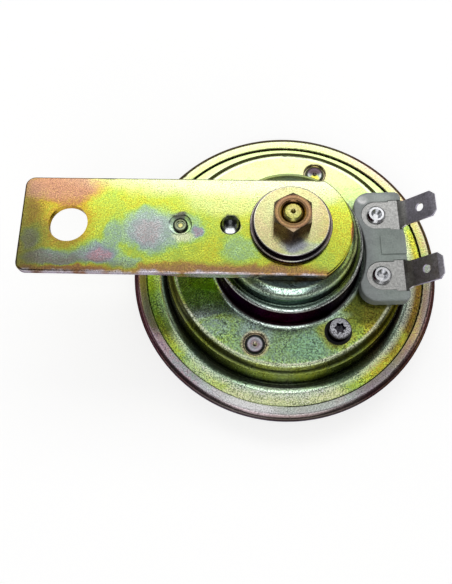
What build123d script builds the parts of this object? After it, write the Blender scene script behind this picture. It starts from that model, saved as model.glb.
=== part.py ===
from build123d import *
import math
import os

os.makedirs("parts", exist_ok=True)

# Disc horn with a bolted mounting arm, in millimetres.
# The horn is built about its own axis, which is Z, with its front plane at z = 0 and the
# stud pointing up (rearwards). The arm reaches out along -X. The finished pieces are then
# moved so that the origin is the centre of the arm's fixing hole, on the arm's rear face.

# Rolled rim
rim_radius = 48.9
rim_sheet = 0.9
rim_corner = 2.0
rim_lip = 2.2
rim_edge_round = 0.35
rim_step = 4.7
collar_depth = 5.0
collar_land = 2.4
collar_bend = 1.2
edge_gap = 0.1

# Clamped stack inside the rim, front to rear
front_gasket_thickness = 0.8
diaphragm_thickness = 0.4
rear_gasket_thickness = 1.0
gasket_width = 4.0

# Rear housing, a stepped pressing
housing_sheet = 1.2
inner_bend = 0.2
flange_width = 8.4
wall_draft = 1.5
wall_foot_bend = 3.0
wall_top_bend = 3.0
plateau_height = 12.3
plateau_width = 14.5
hub_foot_bend = 1.5
hub_foot_draft = 0.5
hub_step_height = 11.0
hub_step_bend = 1.1
hub_ledge = 2.0
hub_neck_bend = 0.4
hub_neck_draft = 0.2
hub_top_bend = 3.5
hub_height = 17.9

# Magnet
stud_radius = 3.0
stud_gap = 0.1
stud_chamfer = 0.9
stud_centre_mark = 0.7
core_radius = 8.0
core_gap = 0.2
coil_washer_thickness = 1.6
coil_washer_clearance = 0.7
bobbin_tube_wall = 1.0
bobbin_flange = 1.0
bobbin_clearance = 1.5
winding_lip = 0.8
yoke_thickness = 2.0
yoke_bore_gap = 2.4
yoke_overlap = 1.4
yoke_ear_radius = 4.0
lead_slot_width = 2.4
air_gap = 1.0
pick_tolerance = 0.1

# Rivets that hold the yoke plate under the plateau
yoke_rivet_inset = 7.1
yoke_rivet_angle = 71.9
yoke_rivet_shank = 1.6
yoke_rivet_head = 2.45
yoke_rivet_head_height = 0.6
yoke_rivet_mark = 0.7
rivet_tail_radius = 2.8
rivet_tail_height = 1.0
dimple_radius = 3.3
dimple_depth = 0.9
dimple_round = 0.5
dimple_clearance = 0.1

# Moving system
armature_inset = 3.8
armature_thickness = 3.2
armature_boss_radius = 9.0
pusher_arm_thickness = 1.2
pusher_arm_ring = 4.0
pusher_arm_width = 6.0
stem_radius = 3.0
stem_gap = 0.05
stem_recess = 0.9
diaphragm_wave_inset = 9.8
diaphragm_wave_top = 2.0
diaphragm_wave_slope = 4.0
diaphragm_wave_height = 0.8
diaphragm_bend = 1.2
spacer_thickness = 0.5
spacer_radius = 8.0
tone_disc_thickness = 1.4
tone_disc_gap = 3.8
tone_disc_slope = 4.0
tone_disc_dish = 3.8
tone_disc_curl_width = 4.0
tone_disc_curl_height = 2.0
tone_disc_bend = 2.0
lock_washer_thickness = 0.8
lock_washer_radius = 6.2
disc_nut_height = 3.2
nut_across_flats = 10.0
nut_chamfer_angle = 30
nut_bore_gap = 0.05
nut_bore_chamfer = 0.45

# Mounting arm and its hardware on the stud
arm_thickness = 2.0
arm_width = 28.9
arm_hub_inset = 2.3
arm_hole_distance = 62.4
arm_hole_radius = 5.5
arm_end_reach = 13.6
arm_end_corner = 2.8
arm_edge_round = 0.6
stiffener_thickness = 1.5
stiffener_overhang = 5.2
stiffener_inset = 0.15
stiffener_corner = 5.0
pip_washer_gap = 2.45
pip_radius = 2.9
pip_depth = 2.1
pip_boss_radius = 2.2
pip_boss_height = 1.1
arm_rivet_spacing = 14.0
arm_rivet_shank = 1.6
arm_rivet_head = 2.1
arm_rivet_head_height = 0.7
arm_rivet_crater = 1.2
arm_rivet_crater_depth = 0.4
arm_rivet_sink = 0.9
arm_rivet_dish_radius = 3.3
arm_rivet_floor_radius = 2.4
joint_gap = 0.1
lower_washer_radius = 11.45
lower_washer_thickness = 1.7
upper_washer_radius = 10.5
upper_washer_thickness = 2.0
washer_edge_round = 0.35
stud_nut_height = 5.5
stud_end_height = 0.2

# Terminal block, drawn with its long side along Y, raised along it and turned about the horn axis
block_angle = 2.5
block_rise = 1.0
terminal_inset = 8.05
terminal_spacing = 19.8
block_wall_inset = 1.0
block_hub_wrap = 1.1
block_half_length = 17.8
block_hub_gap = 0.7
block_outer_corner = 2.0
block_inner_corner = 5.0
block_height = 4.0
block_edge_round = 0.5
pocket_depth = 1.0
pocket_gap = 0.15
block_pad_depth = 0.4
block_pad_length = 7.5
block_pad_width = 6.2
spigot_radius = 2.6
spigot_gap = 0.1
blade_thickness = 0.8
blade_eye_radius = 4.4
blade_strip_width = 9.7
blade_strip_length = 2.7
blade_bend_distance = 6.8
blade_angle = 45.0
blade_length = 12.5
blade_width = 8.0
blade_taper_length = 2.2
blade_tip_corner = 1.4
blade_tip_bevel = 0.2
blade_tip_bevel_length = 1.5
blade_hole_radius = 1.3
blade_hole_distance = 7.3
terminal_rivet_shank = 1.6
terminal_rivet_head = 2.85
terminal_rivet_head_height = 1.2
terminal_rivet_crater = 1.5
terminal_rivet_crater_depth = 1.6
rivet_gap = 0.1

# Contact breaker, hung on the lower terminal rivet
insulator_thickness = 1.0
insulator_radius = 3.6
lug_thickness = 0.6
lug_radius = 3.2
lug_tab_width = 2.6
lug_tab_reach = 1.9
leaf_thickness = 0.3
leaf_width = 5.5
strip_thickness = 1.0
strip_width = 7.0
strip_tail = 5.6
strip_nose = 3.2
spigot_wall = 0.6
fibre_washer_thickness = 0.8
contact_radius = 1.6
contact_height = 1.0
contact_inset = 4.4
pusher_inset = 6.8345
pusher_radius = 1.1
pusher_foot_radius = 0.8
pusher_hole_radius = 1.9
pusher_gap = 0.15
leaf_overhang = 1.9

# Adjusting screw and its threaded bush
screw_inset = 8.3
screw_angle = -57.6
screw_radius = 2.5
screw_head_radius = 3.25
screw_head_height = 3.7
screw_head_lift = 0.4
screw_head_chamfer = 0.35
screw_thread_gap = 0.05
star_radius = 1.7
star_lobe_radius = 0.4
star_depth = 1.4
bush_radius = 4.1
bush_flange_radius = 4.6
bush_flange_thickness = 0.7
bush_sink = 0.9
seal_thickness = 0.5

# Coil leads
lead_radius = 0.4
lead_bend = 0.9
lead_step = 2.0
lead_winding_gap = 2.0
lead_exit_height = 3.0
lead_end_reach = 0.9

# Radii, from the rim inwards
collar_radius = rim_radius - rim_step
flange_radius = rim_radius - rim_corner - edge_gap
wall_foot_radius = flange_radius - flange_width
wall_top_radius = wall_foot_radius - wall_draft
hub_foot_radius = wall_top_radius - plateau_width
hub_step_radius = hub_foot_radius - hub_foot_draft
hub_neck_radius = hub_step_radius - hub_ledge
hub_top_radius = hub_neck_radius - hub_neck_draft
coil_washer_radius = hub_top_radius - hub_top_bend - coil_washer_clearance
bobbin_radius = hub_top_radius - bobbin_clearance
winding_radius = bobbin_radius - winding_lip
lead_drop_radius = winding_radius + lead_winding_gap
yoke_bore_radius = core_radius + yoke_bore_gap
yoke_radius = hub_foot_radius + yoke_overlap
armature_radius = yoke_radius - armature_inset
diaphragm_wave_radius = flange_radius - gasket_width - diaphragm_wave_inset
tone_disc_radius = collar_radius - rim_sheet - tone_disc_gap
tone_disc_centre_radius = armature_boss_radius
dimple_outer_radius = dimple_radius + housing_sheet / 2

# Places on the plateau and along the arm
yoke_rivet_pitch_radius = wall_top_radius - yoke_rivet_inset
screw_pitch_radius = wall_top_radius - screw_inset
block_outer_edge = wall_top_radius - block_wall_inset
block_inner_edge = hub_foot_radius - block_hub_wrap
terminal_pitch_radius = block_outer_edge - terminal_inset
arm_hub_radius = hub_top_radius - arm_hub_inset
arm_end_distance = arm_hole_distance + arm_end_reach
pip_distance = lower_washer_radius + pip_radius + pip_washer_gap
arm_rivet_distance = pip_distance + arm_rivet_spacing
stiffener_reach = arm_rivet_distance + stiffener_overhang

# Heights above the front plane
stack_front = collar_depth + rim_sheet
diaphragm_front = stack_front + front_gasket_thickness
diaphragm_rear = diaphragm_front + diaphragm_thickness
flange_front = diaphragm_rear + rear_gasket_thickness
flange_rear = flange_front + housing_sheet
rim_rear = flange_rear + rim_sheet
plateau_rear = flange_rear + plateau_height
plateau_inside = plateau_rear - housing_sheet
hub_rear = plateau_rear + hub_height
hub_inside = hub_rear - housing_sheet
stiffener_rear = hub_rear + stiffener_thickness
arm_rear = stiffener_rear + arm_thickness
lower_washer_rear = arm_rear + lower_washer_thickness
upper_washer_rear = lower_washer_rear + upper_washer_thickness
stud_nut_rear = upper_washer_rear + stud_nut_height
stud_rear = stud_nut_rear + stud_end_height
yoke_front = plateau_inside - yoke_thickness
armature_rear = yoke_front - air_gap
armature_front = armature_rear - armature_thickness
pusher_arm_front = armature_front - pusher_arm_thickness
coil_rear = hub_inside - coil_washer_thickness
block_rear = plateau_rear + block_height
pocket_floor = block_rear - pocket_depth
blade_rear = pocket_floor + blade_thickness
spacer_front = diaphragm_front - spacer_thickness
disc_centre_front = spacer_front - tone_disc_thickness
lock_washer_front = disc_centre_front - lock_washer_thickness
disc_nut_front = lock_washer_front - disc_nut_height
leaf_rear = plateau_inside - insulator_thickness
leaf_front = leaf_rear - leaf_thickness
strip_rear = leaf_front - 2 * contact_height
strip_front = strip_rear - strip_thickness
fibre_washer_front = strip_front - fibre_washer_thickness
lug_rear = plateau_inside - insulator_thickness
lug_front = lug_rear - lug_thickness
bush_rear = plateau_rear - bush_sink
seal_rear = bush_rear + seal_thickness
screw_head_front = plateau_rear + screw_head_lift


def polar(radius, angle):
    """Point at a radius and an angle about the horn axis."""
    turn = math.radians(angle)
    return radius * math.cos(turn), radius * math.sin(turn)


def disc(radius, low, high, at=(0, 0)):
    """Plain round solid between two heights."""
    body = Cylinder(radius, high - low, align=(Align.CENTER, Align.CENTER, Align.MIN))
    return Pos(at[0], at[1], low) * body


def ring(outer, bore, low, high, at=(0, 0)):
    """Round solid with a bore."""
    return disc(outer, low, high, at) - disc(bore, low, high, at)


def turned(*points):
    """Solid of revolution about the horn axis from (radius, height) points."""
    return revolve(Plane.XZ * make_face(Polyline(*points, close=True)), axis=Axis.Z)


def plate(outline, low, high):
    """Flat outline given thickness between two heights."""
    return Pos(0, 0, low) * extrude(outline, amount=high - low)


def slot_outline(start, end, radius):
    """Long hole or finger with round ends from one point to another."""
    run = Line(start, end)
    return SlotCenterToCenter(run.length, 2 * radius).located(
        Location(tuple(run @ 0.5), (0, 0, run.tangent_angle_at(0)))
    )


def offset_corners(points, distance):
    """Move a polyline sideways to its right and meet its sides again."""
    vectors = [Vector(*point) for point in points]
    sides = [(b - a).normalized() for a, b in zip(vectors, vectors[1:])]
    rights = [Vector(side.Y, -side.X) for side in sides]
    moved = [vectors[0] + rights[0] * distance]
    for corner, before, after in zip(vectors[1:], rights, rights[1:]):
        half = (before + after).normalized()
        moved.append(corner + half * (distance / half.dot(before)))
    moved.append(vectors[-1] + rights[-1] * distance)
    return [(point.X, point.Y) for point in moved]


def pressed(points, bends, sheet):
    """Revolved sheet of even thickness. The rear face runs through the points, outermost first."""
    front_points = offset_corners(points, -sheet)
    sides = [Vector(*b) - Vector(*a) for a, b in zip(points, points[1:])]
    front_bends = []
    for bend, before, after in zip(bends, sides, sides[1:]):
        turn = before.cross(after).Z
        front_bends.append(max(bend - sheet, inner_bend) if turn > 0 else bend + sheet)
    rear_line = FilletPolyline(*points, radius=bends)
    front_line = FilletPolyline(*front_points, radius=front_bends)
    ends = Line(rear_line @ 1, front_line @ 1) + Line(rear_line @ 0, front_line @ 0)
    return revolve(Plane.XZ * make_face(rear_line + front_line + ends), axis=Axis.Z)


def hexagon_nut(height, bore):
    """Nut standing on z = 0, with flats across X, chamfered corners and a chamfered bore."""
    corner_radius = nut_across_flats / math.sqrt(3)
    body = extrude(RegularPolygon(corner_radius, 6, rotation=30), amount=height)
    drop = (corner_radius - nut_across_flats / 2) * math.tan(math.radians(nut_chamfer_angle))
    flat_radius = nut_across_flats / 2 - joint_gap
    envelope = turned(
        (0, 0),
        (corner_radius, 0),
        (corner_radius, height - drop),
        (flat_radius, height),
        (0, height),
    )
    thread = disc(bore, 0, height)
    mouth = turned(
        (0, height - nut_bore_chamfer),
        (bore, height - nut_bore_chamfer),
        (bore + nut_bore_chamfer, height),
        (0, height),
    )
    return (body & envelope) - thread - mouth


def rim_ring():
    """Ring rolled over the clamped stack, with a collar and a flat land in front."""
    outer = FilletPolyline(
        (collar_radius - collar_land, 0),
        (collar_radius, 0),
        (collar_radius, collar_depth),
        (rim_radius, collar_depth),
        (rim_radius, rim_rear),
        (flange_radius - rim_lip, rim_rear),
        radius=[collar_bend, rim_edge_round, rim_corner, rim_corner],
    )
    inner = FilletPolyline(
        (collar_radius - collar_land, rim_sheet),
        (collar_radius - rim_sheet, rim_sheet),
        (collar_radius - rim_sheet, stack_front),
        (rim_radius - rim_sheet, stack_front),
        (rim_radius - rim_sheet, flange_rear),
        (flange_radius - rim_lip, flange_rear),
        radius=[
            max(collar_bend - rim_sheet, inner_bend),
            rim_edge_round + rim_sheet,
            max(rim_corner - rim_sheet, inner_bend),
            max(rim_corner - rim_sheet, inner_bend),
        ],
    )
    ends = Line(outer @ 0, inner @ 0) + Line(outer @ 1, inner @ 1)
    body = revolve(Plane.XZ * make_face(outer + inner + ends), axis=Axis.Z)
    lip_edge = body.edges().filter_by(GeomType.CIRCLE).group_by(Axis.Z)[-1].sort_by(SortBy.RADIUS)[0]
    return fillet(lip_edge, rim_edge_round)


def clamp_ring(low, high):
    """Flat gasket inside the rolled rim."""
    return ring(flange_radius, flange_radius - gasket_width, low, high)


def rear_housing():
    """Stepped pressed cup: flange, wall, plateau and two-step hub, with its punched holes."""
    body = pressed(
        [
            (stud_radius + stud_gap, hub_rear),
            (hub_top_radius, hub_rear),
            (hub_neck_radius, plateau_rear + hub_step_height),
            (hub_step_radius, plateau_rear + hub_step_height),
            (hub_foot_radius, plateau_rear),
            (wall_top_radius, plateau_rear),
            (wall_foot_radius, flange_rear),
            (flange_radius, flange_rear),
        ][::-1],
        [
            hub_top_bend,
            hub_neck_bend,
            hub_step_bend,
            hub_foot_bend,
            wall_top_bend,
            wall_foot_bend,
        ][::-1],
        housing_sheet,
    )
    for at in (yoke_rivet_point(0), yoke_rivet_point(1)):
        cup_floor = plateau_rear - dimple_depth
        body += disc(dimple_outer_radius, cup_floor - housing_sheet, plateau_inside, at)
        body -= disc(dimple_radius, cup_floor, plateau_rear, at)
        mouth = body.edges().filter_by(GeomType.CIRCLE).filter_by_position(
            Axis.Z, plateau_rear - pick_tolerance, plateau_rear + pick_tolerance
        )
        mouth = mouth.filter_by(lambda edge: abs(edge.radius - dimple_radius) < pick_tolerance)
        body = fillet(mouth.sort_by_distance((at[0], at[1], plateau_rear))[0], dimple_round)
        body -= disc(yoke_rivet_shank + rivet_gap, cup_floor - housing_sheet, cup_floor, at)
    for side in (1, -1):
        body -= disc(spigot_radius + spigot_gap, plateau_inside, plateau_rear, terminal_point(side))
    body -= disc(bush_radius, plateau_inside, plateau_rear, polar(screw_pitch_radius, screw_angle))
    return body


def yoke_rivet_point(turn):
    """The two yoke rivets lie opposite each other."""
    return polar(yoke_rivet_pitch_radius, yoke_rivet_angle + 180 * turn)


def terminal_point(side):
    """Centre of the upper (1) or lower (-1) terminal rivet."""
    turn = math.radians(block_angle)
    across = block_rise + side * terminal_spacing / 2
    return (
        terminal_pitch_radius * math.cos(turn) - across * math.sin(turn),
        terminal_pitch_radius * math.sin(turn) + across * math.cos(turn),
    )


def breaker_line():
    """Direction in degrees and length of the breaker, from its rivet to the adjusting screw."""
    start = terminal_point(-1)
    end = polar(screw_pitch_radius, screw_angle)
    run = (end[0] - start[0], end[1] - start[1])
    return math.degrees(math.atan2(run[1], run[0])), math.hypot(*run)


def along_breaker(piece):
    """Place a piece drawn along +X from the rivet onto the breaker's line."""
    start = terminal_point(-1)
    return Pos(start[0], start[1], 0) * Rot(0, 0, breaker_line()[0]) * piece


def pusher_reach():
    """Distance from the breaker's rivet to the pusher pin."""
    return breaker_line()[1] - pusher_inset


def breaker_point(reach):
    """Point on the breaker's line at a reach from its rivet."""
    start = terminal_point(-1)
    step = polar(reach, breaker_line()[0])
    return start[0] + step[0], start[1] + step[1]


def yoke_plate():
    """Flat pole plate with two riveted ears and two slots for the coil leads."""
    outline = Circle(yoke_radius)
    for turn in (0, 1):
        outline += slot_outline((0, 0), yoke_rivet_point(turn), yoke_ear_radius)
    outline -= Circle(yoke_bore_radius)
    body = plate(outline, yoke_front, plateau_inside)
    for turn in (0, 1):
        at = yoke_rivet_point(turn)
        seat = dimple_outer_radius + dimple_clearance
        body -= disc(seat, plateau_inside - dimple_depth, plateau_inside, at)
        body -= disc(yoke_rivet_shank + rivet_gap, yoke_front, plateau_inside, at)
    for angle in (lead_angle(1), lead_angle(-1)):
        width = lead_slot_width
        inner = lead_drop_radius - width / 2
        outer = yoke_radius + width
        notch = Pos((inner + outer) / 2, 0, 0) * Rectangle(outer - inner, width)
        body -= Rot(0, 0, angle) * plate(notch, yoke_front, plateau_inside)
    return body


def yoke_rivet(turn):
    """Rivet sunk in the housing's dimple, headed over below the yoke plate."""
    at = yoke_rivet_point(turn)
    low = plateau_rear - dimple_depth
    top = low + yoke_rivet_head_height
    mark = yoke_rivet_mark
    body = turned(
        (0, yoke_front - rivet_tail_height),
        (rivet_tail_radius, yoke_front - rivet_tail_height),
        (rivet_tail_radius, yoke_front),
        (yoke_rivet_shank, yoke_front),
        (yoke_rivet_shank, low),
        (yoke_rivet_head, low),
        (yoke_rivet_head, top - joint_gap),
        (yoke_rivet_head - joint_gap, top),
        (mark, top),
        (0, top - mark / 2),
    )
    return Pos(at[0], at[1], 0) * body


def pole_core():
    """Turned steel core with the fixing stud in one piece, centre-marked at its end."""
    chamfer_low = stud_rear - stud_chamfer
    return turned(
        (0, yoke_front),
        (core_radius, yoke_front),
        (core_radius, hub_inside),
        (stud_radius, hub_inside),
        (stud_radius, chamfer_low),
        (stud_radius - stud_chamfer, stud_rear),
        (stud_centre_mark, stud_rear),
        (0, stud_rear - stud_centre_mark),
    )


def coil_bobbin():
    """Moulded spool with two flanges around the core."""
    bore = core_radius + core_gap
    tube = bore + bobbin_tube_wall
    return turned(
        (bore, plateau_inside),
        (bobbin_radius, plateau_inside),
        (bobbin_radius, plateau_inside + bobbin_flange),
        (tube, plateau_inside + bobbin_flange),
        (tube, coil_rear - bobbin_flange),
        (bobbin_radius, coil_rear - bobbin_flange),
        (bobbin_radius, coil_rear),
        (bore, coil_rear),
    )


def coil_winding():
    """Enamelled copper wire, wound solid between the flanges."""
    tube = core_radius + core_gap + bobbin_tube_wall
    return ring(winding_radius, tube, plateau_inside + bobbin_flange, coil_rear - bobbin_flange)


def lead_angle(side):
    """Angle about the horn axis at which a coil lead leaves the coil."""
    if side > 0:
        at = terminal_point(1)
    else:
        at = breaker_point(-strip_tail + lead_end_reach)
    return math.degrees(math.atan2(at[1], at[0]))


def coil_lead(side):
    """Wire from the coil down through the yoke plate's slot and out to its tab."""
    top = plateau_inside + lead_exit_height
    low = lug_rear + lead_radius
    route = [(winding_radius, 0, top), (lead_drop_radius, 0, top), (lead_drop_radius, 0, low)]
    if side > 0:
        end = math.hypot(*terminal_point(1)) - lug_radius - lead_end_reach
        route.append((end, 0, low))
    else:
        end = math.hypot(*breaker_point(-strip_tail + lead_end_reach))
        drop = strip_rear + lead_radius
        route.append((end - lead_step, 0, low))
        route.append((end - lead_step, 0, drop))
        route.append((end, 0, drop))
    path = FilletPolyline(*route, radius=lead_bend)
    section = Plane(origin=route[0], z_dir=(1, 0, 0)) * Circle(lead_radius)
    return Rot(0, 0, lead_angle(side)) * sweep(section, path=path)


def armature():
    """Turned steel armature: disc, boss and threaded stem in one piece."""
    boss_front = diaphragm_rear
    tip = disc_nut_front + stem_recess / 2
    body = turned(
        (0, tip),
        (stem_radius - stem_recess / 2, tip),
        (stem_radius, tip + stem_recess / 2),
        (stem_radius, boss_front),
        (armature_boss_radius, boss_front),
        (armature_boss_radius, armature_front),
        (armature_radius, armature_front),
        (armature_radius, armature_rear),
        (0, armature_rear),
    )
    return body


def pusher_arm():
    """Stamped finger clamped under the armature's disc, which carries the pusher."""
    at = breaker_point(pusher_reach())
    bore = armature_boss_radius + joint_gap / 2
    outline = Circle(bore + pusher_arm_ring)
    outline += slot_outline((0, 0), at, pusher_arm_width / 2)
    outline -= Circle(bore)
    body = plate(outline, pusher_arm_front, armature_front)
    return body - disc(pusher_foot_radius, pusher_arm_front, armature_front, at)


def pusher_pin():
    """Insulating pin that lifts the breaker's leaf."""
    at = breaker_point(pusher_reach())
    shank = disc(pusher_foot_radius, pusher_arm_front, armature_front, at)
    return shank + disc(pusher_radius, armature_front, leaf_front - pusher_gap, at)


def diaphragm():
    """Thin spring-steel sheet with one round corrugation, raised towards the magnet."""
    foot = diaphragm_wave_top + diaphragm_wave_slope
    crest = diaphragm_rear + diaphragm_wave_height
    points = [
        (flange_radius, diaphragm_rear),
        (diaphragm_wave_radius + foot, diaphragm_rear),
        (diaphragm_wave_radius + diaphragm_wave_top, crest),
        (diaphragm_wave_radius - diaphragm_wave_top, crest),
        (diaphragm_wave_radius - foot, diaphragm_rear),
        (stem_radius + stem_gap, diaphragm_rear),
    ]
    return pressed(points, [diaphragm_bend] * 4, diaphragm_thickness)


def disc_spacer():
    """Steel washer between the diaphragm and the tone disc."""
    return ring(spacer_radius, stem_radius + stem_gap, spacer_front, diaphragm_front)


def tone_disc():
    """Dished front disc with a curled rim, which rings when the armature beats."""
    face = spacer_front - tone_disc_dish
    curl_start = tone_disc_radius - tone_disc_curl_width
    points = [
        (tone_disc_radius, face + tone_disc_curl_height),
        (curl_start, face),
        (tone_disc_centre_radius + tone_disc_slope, face),
        (tone_disc_centre_radius, spacer_front),
        (stem_radius + stem_gap, spacer_front),
    ]
    return pressed(points, [tone_disc_bend] * 3, tone_disc_thickness)


def lock_washer():
    """Washer under the nut of the tone disc."""
    return ring(lock_washer_radius, stem_radius + stem_gap, lock_washer_front, disc_centre_front)


def disc_nut():
    """Thin nut that holds the tone disc on the armature's stem."""
    nut = hexagon_nut(disc_nut_height, stem_radius + nut_bore_gap)
    return Pos(0, 0, lock_washer_front) * Rot(180, 0, 0) * nut


def arm_outline(reach, half_width, hub_radius, corner):
    """Strip along -X whose inner end is cut round about the stud."""
    length = reach + hub_radius
    strip = Pos(-reach + length / 2, 0) * Rectangle(length, 2 * half_width)
    strip = fillet(strip.vertices().group_by(Axis.X)[0], corner)
    hub_side = Circle(hub_radius) + Pos(-reach, 0) * Rectangle(2 * reach, 4 * half_width)
    return strip & hub_side


def mounting_arm():
    """Flat steel arm with the stud hole, the fixing hole, a locating pip and a sunk rivet hole."""
    outline = arm_outline(arm_end_distance, arm_width / 2, arm_hub_radius, arm_end_corner)
    body = plate(outline, stiffener_rear, arm_rear)
    body = fillet(body.faces().sort_by(Axis.Z)[-1].edges(), arm_edge_round)
    body += disc(pip_boss_radius, stiffener_rear - pip_boss_height, stiffener_rear, (-pip_distance, 0))
    body -= disc(stud_radius + stud_gap, stiffener_rear, arm_rear)
    body -= disc(arm_hole_radius, stiffener_rear, arm_rear, (-arm_hole_distance, 0))
    lift = (pip_radius**2 - pip_depth**2) / (2 * pip_depth)
    ball = Pos(-pip_distance, 0, arm_rear + lift) * Sphere(pip_depth + lift)
    body -= ball
    floor = arm_rear - arm_rivet_sink
    body -= disc(arm_rivet_shank + joint_gap, stiffener_rear, floor, (-arm_rivet_distance, 0))
    dish = turned(
        (0, floor),
        (arm_rivet_floor_radius, floor),
        (arm_rivet_dish_radius, arm_rear),
        (0, arm_rear),
    )
    return body - Pos(-arm_rivet_distance, 0, 0) * dish


def arm_stiffener():
    """Second, shorter leaf under the arm, clamped with it on the hub."""
    outline = arm_outline(
        stiffener_reach,
        arm_width / 2 - stiffener_inset,
        arm_hub_radius - stiffener_inset,
        stiffener_corner,
    )
    body = plate(outline, hub_rear, stiffener_rear)
    body -= disc(stud_radius + stud_gap, hub_rear, stiffener_rear)
    body -= disc(pip_boss_radius + joint_gap, hub_rear, stiffener_rear, (-pip_distance, 0))
    return body - disc(arm_rivet_shank + joint_gap, hub_rear, stiffener_rear, (-arm_rivet_distance, 0))


def arm_rivet():
    """Rivet that joins the arm to its stiffener, sunk in a dish on the rear face."""
    low = arm_rear - arm_rivet_sink
    top = low + arm_rivet_head_height
    body = turned(
        (0, hub_rear - rivet_tail_height),
        (rivet_tail_radius, hub_rear - rivet_tail_height),
        (rivet_tail_radius, hub_rear),
        (arm_rivet_shank, hub_rear),
        (arm_rivet_shank, low),
        (arm_rivet_head, low),
        (arm_rivet_head, top - joint_gap),
        (arm_rivet_head - joint_gap, top),
        (arm_rivet_crater + joint_gap, top),
        (arm_rivet_crater, top - arm_rivet_crater_depth),
        (0, top - arm_rivet_crater_depth),
    )
    return Pos(-arm_rivet_distance, 0, 0) * body


def stud_washer(radius, low, high):
    """Flat washer with rounded edges."""
    body = disc(radius, low, high)
    body = fillet(body.edges().filter_by(GeomType.CIRCLE), washer_edge_round)
    return body - disc(stud_radius + stud_gap, low, high)


def stud_nut():
    """Hexagon nut on the stud, with a flat side facing the arm's length."""
    return Pos(0, 0, upper_washer_rear) * hexagon_nut(stud_nut_height, stud_radius + nut_bore_gap)


def about_block(piece):
    """Turn a piece drawn along +X to the terminal block's place."""
    return Rot(0, 0, block_angle) * piece


def blade_eye_outline(growth):
    """Plan of a terminal's flat end: a round eye that widens to the strip at the bend."""
    eye = Circle(blade_eye_radius + growth)
    bend = blade_bend_distance
    eye += Pos(bend / 2, 0) * Rectangle(bend, 2 * (blade_eye_radius + growth))
    strip = Pos(bend - blade_strip_length / 2, 0)
    eye += strip * Rectangle(blade_strip_length + 2 * growth, blade_strip_width + 2 * growth)
    return eye


def terminal_block():
    """Moulded block that hugs the hub, with two pockets and two insulating spigots."""
    width = block_outer_edge - block_inner_edge
    middle = (block_outer_edge + block_inner_edge) / 2
    outline = Pos(middle, block_rise) * Rectangle(width, 2 * block_half_length)
    outline = fillet(outline.vertices().group_by(Axis.X)[-1], block_outer_corner)
    outline = fillet(outline.vertices().group_by(Axis.X)[0], block_inner_corner)
    outline -= Circle(hub_foot_radius + hub_foot_bend / 2 + block_hub_gap)
    body = plate(outline, plateau_rear, block_rear)
    body = fillet(body.faces().sort_by(Axis.Z)[-1].edges(), block_edge_round)
    pad_middle = block_outer_edge - block_pad_length / 2
    pad = Pos(pad_middle, block_rise) * Rectangle(block_pad_length, block_pad_width)
    body += plate(pad, block_rear, block_rear + block_pad_depth)
    for side in (1, -1):
        at = (terminal_pitch_radius, block_rise + side * terminal_spacing / 2)
        pocket = blade_eye_outline(pocket_gap)
        open_length = block_outer_edge - terminal_pitch_radius
        pocket += Pos(open_length / 2 + blade_bend_distance / 2, 0) * Rectangle(
            open_length - blade_bend_distance + 2 * blade_strip_length, blade_strip_width + 2 * pocket_gap
        )
        body -= Pos(at[0], at[1], 0) * plate(pocket, pocket_floor, block_rear + block_pad_depth)
        body += disc(spigot_radius, plateau_inside, plateau_rear, at)
        body -= disc(terminal_rivet_shank + rivet_gap, plateau_inside, pocket_floor, at)
    return about_block(body)


def terminal_blade(side):
    """Tinned spade terminal: a flat eye in the block's pocket and a blade bent up and out."""
    eye = plate(blade_eye_outline(0), pocket_floor, blade_rear)
    half_base = blade_strip_width / 2
    half_blade = blade_width / 2
    corner = blade_tip_corner
    outline = make_face(
        Polyline(
            (0, -half_base),
            (blade_taper_length, -half_blade),
            (blade_length - corner, -half_blade),
            (blade_length, -half_blade + corner),
            (blade_length, half_blade - corner),
            (blade_length - corner, half_blade),
            (blade_taper_length, half_blade),
            (0, half_base),
            close=True,
        )
    )
    blade = extrude(outline, amount=-blade_thickness)
    for face in (0, -blade_thickness):
        wedge = make_face(
            Polyline(
                (blade_length, face),
                (blade_length, face + math.copysign(blade_tip_bevel, -1 if face == 0 else 1)),
                (blade_length - blade_tip_bevel_length, face),
                close=True,
            )
        )
        blade -= extrude(Plane.XZ * wedge, amount=half_base, both=True)
    blade -= Pos(blade_hole_distance, 0, 0) * Cylinder(blade_hole_radius, 3 * blade_thickness)
    bend_half = math.radians(blade_angle) / 2
    bend_x = blade_bend_distance
    blade = Pos(bend_x, 0, blade_rear) * Rot(0, -blade_angle, 0) * blade
    outside = blade_thickness * math.tan(bend_half)
    knuckle = make_face(
        Polyline(
            (bend_x - joint_gap, pocket_floor),
            (bend_x + outside, pocket_floor),
            (
                bend_x + blade_thickness * math.sin(2 * bend_half),
                blade_rear - blade_thickness * math.cos(2 * bend_half),
            ),
            (bend_x, blade_rear),
            (bend_x - joint_gap, blade_rear),
            close=True,
        )
    )
    knuckle = extrude(Plane.XZ * knuckle, amount=half_base, both=True)
    body = eye + knuckle + blade - disc(terminal_rivet_shank + rivet_gap, pocket_floor, blade_rear)
    across = block_rise + side * terminal_spacing / 2
    return about_block(Pos(terminal_pitch_radius, across, 0) * body)


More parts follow.
